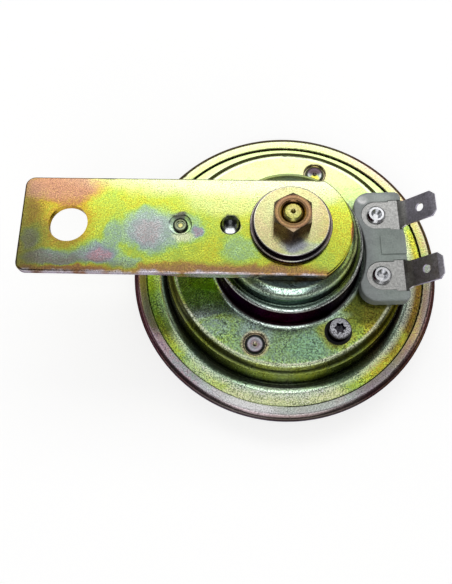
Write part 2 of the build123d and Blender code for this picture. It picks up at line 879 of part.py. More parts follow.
def terminal_rivet(side):
    """Hollow rivet flared open over the terminal's eye, headed over inside the horn."""
    top = blade_rear + terminal_rivet_head_height
    inside = lug_front if side > 0 else fibre_washer_front
    head = terminal_rivet_head
    crater = terminal_rivet_crater
    roll = terminal_rivet_head_height / 2
    body = turned(
        (0, inside - rivet_tail_height),
        (rivet_tail_radius, inside - rivet_tail_height),
        (rivet_tail_radius, inside),
        (terminal_rivet_shank, inside),
        (terminal_rivet_shank, blade_rear),
        (head - roll / 2, blade_rear),
        (head, blade_rear + roll / 2),
        (head, blade_rear + roll),
        (head - roll, top),
        (crater + roll / 4, top),
        (crater, top - roll / 2),
        (crater / 2, top - terminal_rivet_crater_depth),
        (0, top - terminal_rivet_crater_depth),
    )
    at = terminal_point(side)
    return Pos(at[0], at[1], 0) * body


def rivet_insulator(side):
    """Fibre washer between the plateau and what the rivet clamps inside."""
    bore = terminal_rivet_shank + rivet_gap
    low = plateau_inside - insulator_thickness
    return ring(insulator_radius, bore, low, plateau_inside, terminal_point(side))


def solder_lug():
    """Brass lug on the upper terminal rivet, with a tab towards the coil."""
    at = terminal_point(1)
    inward = math.degrees(math.atan2(-at[1], -at[0]))
    outline = Circle(lug_radius)
    reach = lug_radius + lug_tab_reach
    outline += Pos(reach / 2, 0) * Rectangle(reach, lug_tab_width)
    outline -= Circle(terminal_rivet_shank + rivet_gap)
    return Pos(at[0], at[1], 0) * Rot(0, 0, inward) * plate(outline, lug_front, lug_rear)


def contact_leaf():
    """Springy leaf that carries the moving contact and closes it at rest."""
    length = pusher_reach() + leaf_overhang
    outline = Circle(leaf_width / 2) + Pos(length / 2, 0) * Rectangle(length, leaf_width)
    outline -= Circle(terminal_rivet_shank + rivet_gap)
    return along_breaker(plate(outline, leaf_front, leaf_rear))


def contact_spacer():
    """Fibre spacer between leaf and strip, with a sleeve through the strip's hole."""
    bore = terminal_rivet_shank + rivet_gap
    at = terminal_point(-1)
    body = disc(insulator_radius, strip_rear, leaf_front, at)
    body += disc(bore + spigot_wall, strip_front, strip_rear, at)
    return body - disc(bore, strip_front, leaf_front, at)


def contact_strip():
    """Stiff strip that carries the fixed contact. The adjusting screw bears on its end."""
    length = breaker_line()[1] + strip_nose
    outline = Pos((length - strip_tail) / 2, 0) * Rectangle(length + strip_tail, strip_width)
    outline -= Circle(terminal_rivet_shank + rivet_gap + spigot_wall + joint_gap / 2)
    outline -= Pos(pusher_reach(), 0) * Circle(pusher_hole_radius)
    return along_breaker(plate(outline, strip_front, strip_rear))


def fibre_washer():
    """Fibre washer between the strip and the rivet's inner head."""
    bore = terminal_rivet_shank + rivet_gap
    return ring(insulator_radius, bore, fibre_washer_front, strip_front, terminal_point(-1))


def contact_point(low):
    """Flat round contact."""
    return disc(contact_radius, low, low + contact_height, breaker_point(pusher_reach() - contact_inset))


def screw_bush():
    """Threaded bush pressed into the plateau."""
    at = polar(screw_pitch_radius, screw_angle)
    body = disc(bush_radius, plateau_inside, bush_rear, at)
    body += disc(bush_flange_radius, plateau_inside - bush_flange_thickness, plateau_inside, at)
    return body - disc(
        screw_radius + screw_thread_gap, plateau_inside - bush_flange_thickness, bush_rear, at
    )


def screw_seal():
    """Rubber ring over the bush that keeps water out of the thread."""
    at = polar(screw_pitch_radius, screw_angle)
    return ring(bush_radius, screw_radius + screw_thread_gap, bush_rear, seal_rear, at)


def adjusting_screw():
    """Screw with a round head and a six-lobed recess, which bears on the contact strip."""
    at = polar(screw_pitch_radius, screw_angle)
    top = screw_head_front + screw_head_height
    chamfer_size = screw_head_chamfer
    body = turned(
        (0, strip_rear),
        (screw_radius - chamfer_size, strip_rear),
        (screw_radius, strip_rear + chamfer_size),
        (screw_radius, screw_head_front),
        (screw_head_radius, screw_head_front),
        (screw_head_radius, top - chamfer_size),
        (screw_head_radius - chamfer_size, top),
        (0, top),
    )
    recess = disc(star_radius - star_lobe_radius, top - star_depth, top)
    for lobe in range(6):
        spot = polar(star_radius - star_lobe_radius, 60 * lobe)
        recess += disc(star_lobe_radius, top - star_depth, top, spot)
    return Pos(at[0], at[1], 0) * (body - recess)


pieces = {
    "rear_housing": rear_housing(),
    "rim_ring": rim_ring(),
    "front_gasket": clamp_ring(stack_front, diaphragm_front),
    "diaphragm": diaphragm(),
    "rear_gasket": clamp_ring(diaphragm_rear, flange_front),
    "pole_core": pole_core(),
    "coil_bobbin": coil_bobbin(),
    "coil_winding": coil_winding(),
    "coil_washer": ring(coil_washer_radius, core_radius + core_gap, coil_rear, hub_inside),
    "yoke_plate": yoke_plate(),
    "yoke_rivet_a": yoke_rivet(0),
    "yoke_rivet_b": yoke_rivet(1),
    "coil_lead_a": coil_lead(1),
    "coil_lead_b": coil_lead(-1),
    "armature": armature(),
    "pusher_arm": pusher_arm(),
    "pusher_pin": pusher_pin(),
    "disc_spacer": disc_spacer(),
    "tone_disc": tone_disc(),
    "lock_washer": lock_washer(),
    "disc_nut": disc_nut(),
    "mounting_arm": mounting_arm(),
    "arm_stiffener": arm_stiffener(),
    "arm_rivet": arm_rivet(),
    "lower_washer": stud_washer(lower_washer_radius, arm_rear, lower_washer_rear),
    "upper_washer": stud_washer(upper_washer_radius, lower_washer_rear, upper_washer_rear),
    "stud_nut": stud_nut(),
    "terminal_block": terminal_block(),
    "terminal_blade_a": terminal_blade(1),
    "terminal_blade_b": terminal_blade(-1),
    "terminal_rivet_a": terminal_rivet(1),
    "terminal_rivet_b": terminal_rivet(-1),
    "rivet_insulator_a": rivet_insulator(1),
    "rivet_insulator_b": rivet_insulator(-1),
    "solder_lug": solder_lug(),
    "contact_leaf": contact_leaf(),
    "contact_spacer": contact_spacer(),
    "contact_strip": contact_strip(),
    "fibre_washer": fibre_washer(),
    "fixed_contact": contact_point(strip_rear),
    "moving_contact": contact_point(leaf_front - contact_height),
    "screw_bush": screw_bush(),
    "screw_seal": screw_seal(),
    "adjusting_screw": adjusting_screw(),
}

to_fixing_hole = Pos(arm_hole_distance, 0, -arm_rear)
for name, piece in pieces.items():
    export_step(to_fixing_hole * piece, f"parts/{name}.step")
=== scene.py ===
import math

import bmesh
import bpy
from mathutils import Matrix, Vector


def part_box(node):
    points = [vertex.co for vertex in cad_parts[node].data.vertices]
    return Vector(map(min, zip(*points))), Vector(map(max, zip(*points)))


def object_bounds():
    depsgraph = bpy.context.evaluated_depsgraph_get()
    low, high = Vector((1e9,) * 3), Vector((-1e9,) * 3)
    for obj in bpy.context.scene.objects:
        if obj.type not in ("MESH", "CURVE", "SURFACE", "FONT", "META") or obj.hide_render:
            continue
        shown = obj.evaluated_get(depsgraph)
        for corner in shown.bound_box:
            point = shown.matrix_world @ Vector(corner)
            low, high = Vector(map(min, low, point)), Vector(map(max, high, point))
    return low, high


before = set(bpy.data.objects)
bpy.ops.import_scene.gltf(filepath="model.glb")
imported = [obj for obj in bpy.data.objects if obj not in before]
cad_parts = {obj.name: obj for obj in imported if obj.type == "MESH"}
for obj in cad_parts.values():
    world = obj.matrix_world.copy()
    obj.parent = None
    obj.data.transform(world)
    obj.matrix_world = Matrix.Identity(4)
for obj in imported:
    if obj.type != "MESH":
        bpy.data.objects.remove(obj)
cad_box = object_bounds()


# The studio floor is a plain pale board in a dim grey room, and the horn lies on it face down.
# Cameras and shiny surfaces see the board as white, and it keeps a faint shadow of the horn. From
# below it is see-through, so that the horn's front shows.
mm = 0.001
rim_low, rim_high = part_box("rim_ring")
horn_centre = Vector(((rim_low.x + rim_high.x) / 2, 0, rim_low.z))
floor_size = 40.0
floor_gap = 0.02 * mm
floor_glow = 0.72


def srgb(code):
    """Linear colour with full alpha from an sRGB hex value such as 8a9b3c."""
    channels = [int(code[start:start + 2], 16) / 255 for start in (0, 2, 4)]
    linear = [c / 12.92 if c <= 0.04045 else ((c + 0.055) / 1.055) ** 2.4 for c in channels]
    return (*linear, 1.0)


def add(tree, kind, sockets=None, **settings):
    """Add one node, set its properties, and give each named socket a value or a link."""
    made = tree.nodes.new(kind)
    for name, value in settings.items():
        if name == "stops":
            elements = made.color_ramp.elements
            while len(elements) < len(value):
                elements.new(0.5)
            for element, (place, colour) in zip(elements, value):
                element.position = place
                element.color = colour
        else:
            setattr(made, name, value)
    for name, value in (sockets or {}).items():
        if isinstance(value, bpy.types.NodeSocket):
            tree.links.new(value, made.inputs[name])
        else:
            made.inputs[name].default_value = value
    return made


def new_finish(name):
    """Start an empty material."""
    material = bpy.data.materials.new(name)
    material.use_nodes = True
    material.node_tree.nodes.clear()
    return material, material.node_tree


board = bmesh.new()
bmesh.ops.create_grid(board, x_segments=1, y_segments=1, size=floor_size / 2)
board_place = (horn_centre.x, 0, cad_box[0].z - floor_gap)
bmesh.ops.translate(board, vec=board_place, verts=board.verts)
floor_mesh = bpy.data.meshes.new("studio_floor")
board.to_mesh(floor_mesh)
board.free()
floor = bpy.data.objects.new("studio_floor", floor_mesh)
bpy.context.scene.collection.objects.link(floor)

# Matt white paint: an even pale ground with no shine.
floor_paint, tree = new_finish("matt_white_board")
lit = add(tree, "ShaderNodeBsdfDiffuse", {"Color": srgb("b4b4b4")})
path = add(tree, "ShaderNodeLightPath")
rays = {0: path.outputs["Is Camera Ray"], 1: path.outputs["Is Glossy Ray"]}
seen = add(tree, "ShaderNodeMath", rays)
seen = add(tree, "ShaderNodeMath", {0: seen.outputs[0], 1: path.outputs["Is Transmission Ray"]})
strength = {0: seen.outputs[0], 1: floor_glow}
strength = add(tree, "ShaderNodeMath", strength, operation="MULTIPLY")
shine = {"Color": srgb("ffffff"), "Strength": strength.outputs[0]}
glow = add(tree, "ShaderNodeEmission", shine)
white = add(tree, "ShaderNodeAddShader", {0: lit.outputs[0], 1: glow.outputs[0]})
facing = add(tree, "ShaderNodeNewGeometry")
clear = add(tree, "ShaderNodeBsdfTransparent")
sides = {0: facing.outputs["Backfacing"], 1: white.outputs[0], 2: clear.outputs[0]}
one_way = add(tree, "ShaderNodeMixShader", sides)
add(tree, "ShaderNodeOutputMaterial", {"Surface": one_way.outputs[0]})
floor_mesh.materials.append(floor_paint)

# The room is a plain grey, slightly lighter near the floor, which keeps the steel's flanks dark.
room = bpy.data.worlds.new("studio_room")
bpy.context.scene.world = room
room.use_nodes = True
tree = room.node_tree
tree.nodes.clear()
direction = add(tree, "ShaderNodeTexCoord")
height = add(tree, "ShaderNodeSeparateXYZ", {"Vector": direction.outputs["Generated"]})
room_shades = [
    (0.00, srgb("7c7b78")),
    (0.35, srgb("5e5d5c")),
    (0.80, srgb("50504e")),
    (1.00, srgb("565654")),
]
walls = add(tree, "ShaderNodeValToRGB", {"Fac": height.outputs["Z"]}, stops=room_shades)
dim = add(tree, "ShaderNodeBackground", {"Color": walls.outputs[0], "Strength": 1.0})
add(tree, "ShaderNodeOutputWorld", {"Surface": dim.outputs[0]})


# The studio lamps are five soft boxes, each a metre off. Two wide ones behind the horn wash over
# the top of the pressing, a narrow one on the camera's side makes the bright lines on the lower
# bends, and two weak ones fill the sides.
lamp_distance = 1.0


def soft_box(name, from_zenith, toward, width, depth, radiance):
    """One rectangular lamp, placed by its angle from straight above and its compass angle.

    The angles are in degrees and the sizes in metres. Its power gives its face that radiance.
    """
    lamp = bpy.data.lights.new(name, "AREA")
    lamp.shape = "RECTANGLE"
    lamp.size = width
    lamp.size_y = depth
    lamp.energy = radiance * math.pi * width * depth
    stand = bpy.data.objects.new(name, lamp)
    bpy.context.scene.collection.objects.link(stand)
    swung = Matrix.Rotation(math.radians(toward - 90), 4, "Z")
    tipped = Matrix.Rotation(-math.radians(from_zenith), 4, "X")
    raised = Matrix.Translation((0, 0, lamp_distance))
    stand.matrix_world = Matrix.Translation(horn_centre) @ (swung @ tipped) @ raised


soft_box("back_box", from_zenith=38.5, toward=88, width=1.5, depth=0.44, radiance=1.35)
soft_box("back_fill", from_zenith=20, toward=98, width=1.1, depth=0.93, radiance=0.62)
soft_box("camera_box", from_zenith=39, toward=-88, width=0.6, depth=0.98, radiance=1.5)
soft_box("left_box", from_zenith=58, toward=178, width=0.4, depth=0.35, radiance=0.8)
soft_box("right_box", from_zenith=55, toward=5, width=0.4, depth=0.35, radiance=0.8)
bpy.context.scene.view_settings.view_transform = "Standard"


# The camera stands where the photographer stood: close above the stud, a little towards the lower
# edge. Its angles, in radians, turn it from straight above, and all its distances are from a point
# on the horn's axis, at the height of the rim's bead.
camera_tilt = 0.3324
camera_turn = 0.0970
camera_roll = -0.0743
camera_distance = 216.23 * mm
camera_across = 18.87 * mm
camera_down = 6.80 * mm
bead_height = 7.6 * mm
frame_long_side = 36.0
focal_length = 40.573

back = Vector((
    math.sin(camera_tilt) * math.sin(camera_turn),
    -math.sin(camera_tilt) * math.cos(camera_turn),
    math.cos(camera_tilt),
))
level = Vector((math.cos(camera_turn), math.sin(camera_turn), 0))
above = back.cross(level)
right = level * math.cos(camera_roll) + above * math.sin(camera_roll)
up = above * math.cos(camera_roll) - level * math.sin(camera_roll)
eye = horn_centre + Vector((0, 0, bead_height))
eye += back * camera_distance - right * camera_across - up * camera_down

lens = bpy.data.cameras.new("camera")
lens.lens = focal_length
lens.sensor_width = frame_long_side
lens.clip_start = 0.01
lens.clip_end = 50.0
camera = bpy.data.objects.new("camera", lens)
bpy.context.scene.collection.objects.link(camera)
turn = Matrix((right, up, back)).transposed().to_4x4()
camera.matrix_world = Matrix.Translation(eye) @ turn
bpy.context.scene.camera = camera


# The rear housing is one deep-drawn steel pressing: flange, wall, plateau and two-step hub. It is
# zinc plated and yellow passivated, and its clear film shows rainbow colours by its thickness:
# brown and copper where thin, then gold, lime, pale green, grey, pink and purple.
film_order = [
    (0.00, srgb("4a3020")),
    (0.12, srgb("95604a")),
    (0.22, srgb("c08a58")),
    (0.32, srgb("d0b23c")),
    (0.42, srgb("ccd64c")),
    (0.52, srgb("b2d05c")),
    (0.62, srgb("a6c88c")),
    (0.72, srgb("98aea6")),
    (0.82, srgb("a2a0aa")),
    (0.92, srgb("bc949c")),
    (1.00, srgb("84587e")),
]

# Real zinc crystals and specks of film are finer than this, and are drawn coarser so that they show.
sand_size = 0.4 * mm
speck_size = 0.7 * mm
smear_size = 3 * mm

# One soft noise keeps mostly within the first pair of values, and the sum of two in the second.
noise_low = 0.3
noise_high = 0.7
sum_low = 0.7
sum_high = 1.3


def from_horn_axis(tree):
    """Plan position in metres about the horn's axis, with the height taken out."""
    sockets = {
        "Vector": add(tree, "ShaderNodeTexCoord").outputs["Object"],
        "Location": (-horn_centre.x, 0, 0),
        "Scale": (1, 1, 0),
    }
    return add(tree, "ShaderNodeMapping", sockets).outputs[0]


def wandering(tree, place, size, reach):
    """The place pushed about by soft noise, so that no colour's edge is even."""
    drift = add(tree, "ShaderNodeTexNoise", {"Vector": place, "Scale": 1 / size, "Detail": 3.0})
    centred = {0: drift.outputs["Color"], 1: (0.5, 0.5, 0.5)}
    centred = add(tree, "ShaderNodeVectorMath", centred, operation="SUBTRACT")
    pushed = {0: centred.outputs[0], "Scale": reach}
    pushed = add(tree, "ShaderNodeVectorMath", pushed, operation="SCALE")
    moved = {0: place, 1: pushed.outputs[0]}
    return add(tree, "ShaderNodeVectorMath", moved, operation="ADD").outputs[0]


def spot_share(tree, place, spot):
    """Share of a soft oval at a place: its centre and half-widths in mm, then its full strength."""
    x, y, half_x, half_y, strength = spot
    full_within = 0.6
    gone_by = 1.3
    sockets = {
        "Vector": place,
        "Location": (-x / half_x, -y / half_y, 0),
        "Scale": (1 / (half_x * mm), 1 / (half_y * mm), 0),
    }
    oval = add(tree, "ShaderNodeMapping", sockets)
    far = add(tree, "ShaderNodeVectorMath", {0: oval.outputs[0]}, operation="LENGTH")
    sockets = {
        "Value": far.outputs["Value"],
        "From Min": full_within,
        "From Max": gone_by,
        "To Min": strength,
        "To Max": 0.0,
    }
    return add(tree, "ShaderNodeMapRange", sockets, interpolation_type="SMOOTHSTEP").outputs[0]


# A Mix node takes two numbers at sockets 2 and 3, two vectors at 4 and 5, or two colours at 6 and 7.
# It gives the result at output 0, 1 or 2.
def tinted(tree, place, colour, spots):
    """Lay soft ovals over a colour: each row is an oval as in spot_share, then its hex colour."""
    for *spot, tint in spots:
        mix = {"Factor": spot_share(tree, place, spot), 6: colour, 7: srgb(tint)}
        colour = add(tree, "ShaderNodeMix", mix, data_type="RGBA").outputs[2]
    return colour


def film(tree, place, spots, usual, drift, speckle=0.22, cloud=11):
    """Rainbow colours of the film, from its usual thickness, slow drift in that, and spots.

    Thickness runs from 0 to 1 along film_order. Each spot is an oval, then its thickness. The
    drift's clouds are sized in mm, and speckle is how far the fine specks change the thickness.
    """
    haze = {"Vector": place, "Scale": 1 / (cloud * mm), "Detail": 4.0}
    haze = add(tree, "ShaderNodeTexNoise", haze)
    sockets = {
        "Value": haze.outputs["Fac"],
        "From Min": noise_low,
        "From Max": noise_high,
        "To Min": usual - drift,
        "To Max": usual + drift,
    }
    thickness = add(tree, "ShaderNodeMapRange", sockets).outputs[0]
    for *spot, depth in spots:
        mix = {"Factor": spot_share(tree, place, spot), 2: thickness, 3: depth}
        thickness = add(tree, "ShaderNodeMix", mix).outputs[0]
    speck = {"Vector": place, "Scale": 1 / speck_size, "Detail": 3.0}
    speck = add(tree, "ShaderNodeTexNoise", speck)
    spread = {0: speck.outputs["Fac"], 1: speckle, 2: -speckle / 2}
    spread = add(tree, "ShaderNodeMath", spread, operation="MULTIPLY_ADD")
    thickness = add(tree, "ShaderNodeMath", {0: thickness, 1: spread.outputs[0]})
    return add(tree, "ShaderNodeValToRGB", {"Fac": thickness.outputs[0]}, stops=film_order).outputs[0]


def banded(tree, distance, colour, bands):
    """Lay rings over a colour: each row is a distance in mm, a hex colour and its strength."""
    reach = bands[-1][0]
    share = {0: distance, 1: 1 / (reach * mm)}
    share = add(tree, "ShaderNodeMath", share, operation="MULTIPLY")
    stops = [(place / reach, (*srgb(tone)[:3], strength)) for place, tone, strength in bands]
    ramp = add(tree, "ShaderNodeValToRGB", {"Fac": share.outputs[0]}, stops=stops)
    mix = {"Factor": ramp.outputs["Alpha"], 6: colour, 7: ramp.outputs["Color"]}
    return add(tree, "ShaderNodeMix", mix, data_type="RGBA").outputs[2]


def plated_surface(tree, colour, roughness, sparkle=0.3, softened=None, calm=None):
    """Plated metal of a given colour, with a sandy sparkle and fine grain.

    Where softened is high, the surface shades as if it were flat, and where calm is high, the
    sparkle fades. The grain stands up by grain_depth.
    """
    grain_depth = 0.016 * mm
    sand_dark = 0.38
    sand_bright = 0.62
    faintest = 0.3
    strongest = 1.4
    smoother = 0.05
    rougher = 0.06
    place = add(tree, "ShaderNodeTexCoord").outputs["Object"]
    sand = {"Vector": place, "Scale": 1 / sand_size, "Detail": 2.0}
    sand = add(tree, "ShaderNodeTexNoise", sand)
    smear = {"Vector": place, "Scale": 1 / smear_size, "Detail": 4.0}
    smear = add(tree, "ShaderNodeTexNoise", smear)
    sockets = {
        "Value": smear.outputs["Fac"],
        "From Min": noise_low,
        "From Max": noise_high,
        "To Min": sparkle * faintest,
        "To Max": sparkle * strongest,
    }
    swing = add(tree, "ShaderNodeMapRange", sockets)
    if calm is not None:
        lively = add(tree, "ShaderNodeMath", {0: 1.0, 1: calm}, operation="SUBTRACT")
        kept = {0: swing.outputs[0], 1: lively.outputs[0]}
        swing = add(tree, "ShaderNodeMath", kept, operation="MULTIPLY")
    sockets = {
        "Value": sand.outputs["Fac"],
        "From Min": sand_dark,
        "From Max": sand_bright,
        "To Min": -1.0,
        "To Max": 1.0,
    }
    glint = add(tree, "ShaderNodeMapRange", sockets)
    light = {0: glint.outputs[0], 1: swing.outputs[0], 2: 1.0}
    light = add(tree, "ShaderNodeMath", light, operation="MULTIPLY_ADD")
    toned = {0: colour, "Scale": light.outputs[0]}
    toned = add(tree, "ShaderNodeVectorMath", toned, operation="SCALE")
    sockets = {
        "Value": smear.outputs["Fac"],
        "From Min": noise_low,
        "From Max": noise_high,
        "To Min": roughness - smoother,
        "To Max": roughness + rougher,
    }
    wear = add(tree, "ShaderNodeMapRange", sockets)
    grain = {"Height": sand.outputs["Fac"], "Strength": 0.6, "Distance": grain_depth}
    normal = add(tree, "ShaderNodeBump", grain).outputs[0]
    if softened is not None:
        lean = {"Factor": softened, 4: normal, 5: (0, 0, 1)}
        leaning = {0: add(tree, "ShaderNodeMix", lean, data_type="VECTOR").outputs[1]}
        normal = add(tree, "ShaderNodeVectorMath", leaning, operation="NORMALIZE").outputs[0]
    sockets = {
        "Base Color": toned.outputs[0],
        "Metallic": 1.0,
        "Specular Tint": srgb("9c94a4"),
        "Roughness": wear.outputs[0],
        "Normal": normal,
    }
    metal = add(tree, "ShaderNodeBsdfPrincipled", sockets)
    add(tree, "ShaderNodeOutputMaterial", {"Surface": metal.outputs[0]})


def finish(material, *names):
    """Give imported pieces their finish."""
    for name in names:
        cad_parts[name].material_slots[0].material = material


yoke_low, yoke_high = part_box("yoke_rivet_a")
yoke_place = Vector((
    (yoke_low.x + yoke_high.x) / 2 - horn_centre.x,
    (yoke_low.y + yoke_high.y) / 2,
    0,
))


def from_yoke_rivets(tree, axis_place):
    """Distance to the nearer of the two yoke rivets, which lie opposite each other."""
    first = {0: axis_place, 1: yoke_place}
    first = add(tree, "ShaderNodeVectorMath", first, operation="DISTANCE")
    other = {0: axis_place, 1: -yoke_place}
    other = add(tree, "ShaderNodeVectorMath", other, operation="DISTANCE")
    nearer = {0: first.outputs["Value"], 1: other.outputs["Value"]}
    return add(tree, "ShaderNodeMath", nearer, operation="MINIMUM").outputs[0]


# Yellow passivated zinc on drawn steel: glossy and sandy, mottled lime and gold, with painted light
# over it: painted dark reflection on the steep walls, painted highlights on the bends, painted
# shadow under the arm and a pale painted sheen on the upper side. All places are in mm from the
# horn's axis.
pressing_zinc, tree = new_finish("yellow_passivated_pressing")
axis_place = from_horn_axis(tree)
plan = wandering(tree, axis_place, size=9 * mm, reach=7 * mm)
# The spot at -26, -16 is painted light: its thicker, greyer film pales the arm's dark reflection.
body_film = [
    (-2, -14, 22, 12, 0.8, 0.68),
    (0, -27, 20, 9, 0.85, 0.65),
    (-21, -24, 4, 3, 0.5, 0.8),
    (-30, -10, 9, 12, 0.7, 0.48),
    (-26, -16, 7, 5, 0.8, 0.74),
    (23, -13, 9, 9, 0.8, 0.44),
    (15.3, -24.6, 5.4, 5.4, 0.6, 0.28),
    (28, -19, 5, 10, 0.5, 0.3),
    (40, -8, 7, 18, 0.85, 0.24),
    (38, 8, 7, 8, 0.9, 0.4),
    (30, -28, 8, 8, 0.7, 0.3),
    (-36, -22, 9, 9, 0.7, 0.42),
]
body_colour = film(tree, plan, body_film, usual=0.53, drift=0.12, speckle=0.3)
body_tints_and_painted_light = [
    # the halo round the adjusting screw, then painted shade in olive and brown on the right side
    (15.3, -24.4, 5.4, 5.4, 0.4, "7c6c50"),
    (24, -13, 9, 11, 0.85, "44441f"),
    (33, -18, 3, 11, 0.6, "54382c"),
    (41, -15, 5, 17, 0.75, "58451f"),
    # teal and grey below the hub and to its left, the last two painted light against the arm's dark
    # reflection
    (0, -27, 19, 7, 0.35, "5c7864"),
    (-9, -25, 5, 4, 0.35, "a8b8c8"),
    (6, -29, 6, 4, 0.3, "7cb4a0"),
    (-22, -17, 5, 3, 0.4, "8ca0b8"),
    (-26, -16, 7, 5, 0.75, "c4d6d0"),
    (-30, -7, 8, 8, 0.5, "84846c"),
    # painted shade on the hub's lower bend, and olive on the left of the wall and the flange
    (0, -17, 12, 3, 0.3, "4c5c60"),
    (-38, -12, 8, 14, 0.5, "7c7c50"),
    # a painted highlight on the hub's lower bend, and painted shade on its right side
    (-1, -18.4, 17, 3.4, 0.85, "c8ece8"),
    (21.5, 1, 4.5, 16, 0.85, "202c12"),
    # a pale painted sheen on the upper side and on the lower part of the flange
    (0, 42, 60, 26, 0.85, "d6e6a4"),
    (0, -42, 24, 4, 0.75, "eef4c4"),
    (-24, -35, 9, 5, 0.5, "dcecac"),
]
body_colour = tinted(tree, plan, body_colour, body_tints_and_painted_light)
# Painted shade fills the dish round each yoke rivet, inside a pale cream rim.
sunk_rivet_rings_and_painted_shade = [
    (0.0, "140c14", 0.95),
    (3.0, "140c14", 0.95),
    (3.35, "ecd4b4", 0.7),
    (3.8, "d8b48c", 0.4),
    (4.6, "d8b48c", 0.0),
]
body_colour = banded(tree, from_yoke_rivets(tree, axis_place), body_colour, sunk_rivet_rings_and_painted_shade)
body_painted_light_rings = [
    # painted shadow of the arm, nearly black, on the hub's flat top beside it
    (0.0, "14141c", 0.0),
    (13.6, "14141c", 0.0),
    (14.3, "14141c", 0.9),
    (17.0, "181c24", 0.9),
    # a faint painted highlight on the hub's upper bend, and painted shade on its neck
    (17.7, "d8e0a8", 0.1),
    (18.8, "d8e0a8", 0.3),
    (19.4, "283014", 0.85),
    # painted shade on the hub's step, with a painted highlight on its arris
    (20.2, "343c1c", 0.8),
    (20.9, "44502c", 0.7),
    (21.45, "eef4f0", 0.6),
    # painted shade on the hub's wall, and a painted highlight on the bend at its foot
    (21.9, "401024", 0.95),
    (22.8, "200814", 1.0),
    (23.2, "dce8e4", 0.8),
    (23.8, "c0d4c8", 0.4),
    # the plateau, with a painted highlight where its outer bend starts and painted shade beyond it
    (24.6, "c0d4c8", 0.0),
    (33.8, "f4f8dc", 0.0),
    (34.4, "f4f8dc", 0.7),
    (34.8, "f0f4d0", 0.5),
    (35.3, "545014", 0.85),
    # painted shade on the outer wall, with one paler painted line
    (36.7, "28280c", 0.9),
    (37.2, "8c9048", 0.7),
    (37.7, "4c4c28", 0.8),
    (38.1, "2c2438", 0.9),
    (39.0, "202430", 0.9),
    # the flange: a pale teal painted highlight by the wall, and painted shade by the rim's lip
    (39.7, "4c6464", 0.75),
    (40.3, "ccece0", 0.6),
    (41.2, "dcf0e4", 0.5),
    (43.0, "dcf0e4", 0.0),
    (44.2, "5c6c40", 0.0),
    (44.5, "5c6c40", 0.5),
    (48.0, "dce8cc", 0.0),
]
away = add(tree, "ShaderNodeVectorMath", {0: axis_place}, operation="LENGTH").outputs["Value"]
body_colour = banded(tree, away, body_colour, body_painted_light_rings)
upper_side = spot_share(tree, axis_place, (0, 42, 60, 32, 0.8))
plated_surface(tree, body_colour, roughness=0.22, sparkle=0.6, calm=upper_side)
finish(pressing_zinc, "rear_housing")


# The rim ring is steel, plated like the housing. It is rolled over the flange, the gaskets and the
# diaphragm, and so clamps them together.
# Its film carries painted light: a pale painted highlight on the flat lip, painted dark reflection
# in brown and purple on the tight outer bend, and painted shade at the crevice.
rim_zinc, tree = new_finish("yellow_passivated_rim")
axis_place = from_horn_axis(tree)
plan = wandering(tree, axis_place, size=8 * mm, reach=6 * mm)
rim_film = [
    (0, 50, 70, 34, 0.95, 0.44),
    (47, 20, 12, 18, 0.8, 0.26),
    (44, -20, 14, 18, 0.8, 0.16),
    (-44, -18, 14, 18, 0.8, 0.97),
]
rim_colour = film(tree, plan, rim_film, usual=0.8, drift=0.2, speckle=0.4, cloud=8)
rim_tints_and_painted_light = [
    # a pale painted sheen on the upper side, with a coppery patch
    (0, 54, 62, 26, 0.75, "dcea8c"),
    (31, 37, 11, 9, 0.5, "d49484"),
    # a painted highlight along the lower side
    (0, -47, 28, 9, 0.85, "c8d2c6"),
    (-18, -43, 13, 7, 0.5, "f4f4f8"),
    (-11, -46.5, 9, 4, 0.9, "ffffff"),
    # painted dark reflection, purple on the left side and brown on the lower right
    (-48, -12, 7, 20, 0.9, "501c30"),
    (34, -36, 13, 13, 0.75, "6c3c4c"),
    (48, -14, 6, 16, 0.75, "64383a"),
]
rim_colour = tinted(tree, plan, rim_colour, rim_tints_and_painted_light)
rim_painted_light_rings = [
    # painted shade inside the lip and in its crevice
    (0.0, "2c2620", 1.0),
    (44.6, "3c342a", 1.0),
    # a painted highlight along the flat lip
    (44.8, "a8ac94", 0.6),
    (45.3, "dcdcd4", 0.2),
    (46.6, "e0dce4", 0.3),
    (47.0, "dcd4dc", 0.45),
    # painted dark reflection on the outer bend
    (47.4, "8c6c74", 0.7),
    (47.9, "5c3c40", 0.85),
    (48.6, "3c2820", 0.9),
    (49.0, "241812", 1.0),
]
away = add(tree, "ShaderNodeVectorMath", {0: axis_place}, operation="LENGTH").outputs["Value"]
rim_colour = banded(tree, away, rim_colour, rim_painted_light_rings)
plated_surface(tree, rim_colour, roughness=0.2, sparkle=0.34)
finish(rim_zinc, "rim_ring")


# The front holds the dished tone disc, which is plated like the pressings, and behind it the
# diaphragm, a thin sheet of rolled spring steel that is clamped at its edge between two gaskets.
# The disc is held on the armature's stem by a spacer, a lock washer and a nut.

# Yellow passivated disc: an even olive gold, quieter than the housing.
disc_zinc, tree = new_finish("yellow_passivated_disc")
plan = wandering(tree, from_horn_axis(tree), size=9 * mm, reach=7 * mm)
disc_film = [
    (12, 14, 14, 9, 0.6, 0.72),
    (-16, -8, 10, 12, 0.5, 0.36),
]
disc_colour = film(tree, plan, disc_film, usual=0.5, drift=0.1, cloud=16)
disc_colour = tinted(tree, plan, disc_colour, [(0, 0, 60, 60, 0.4, "8c8a54")])
plated_surface(tree, disc_colour, roughness=0.24)
finish(disc_zinc, "tone_disc")


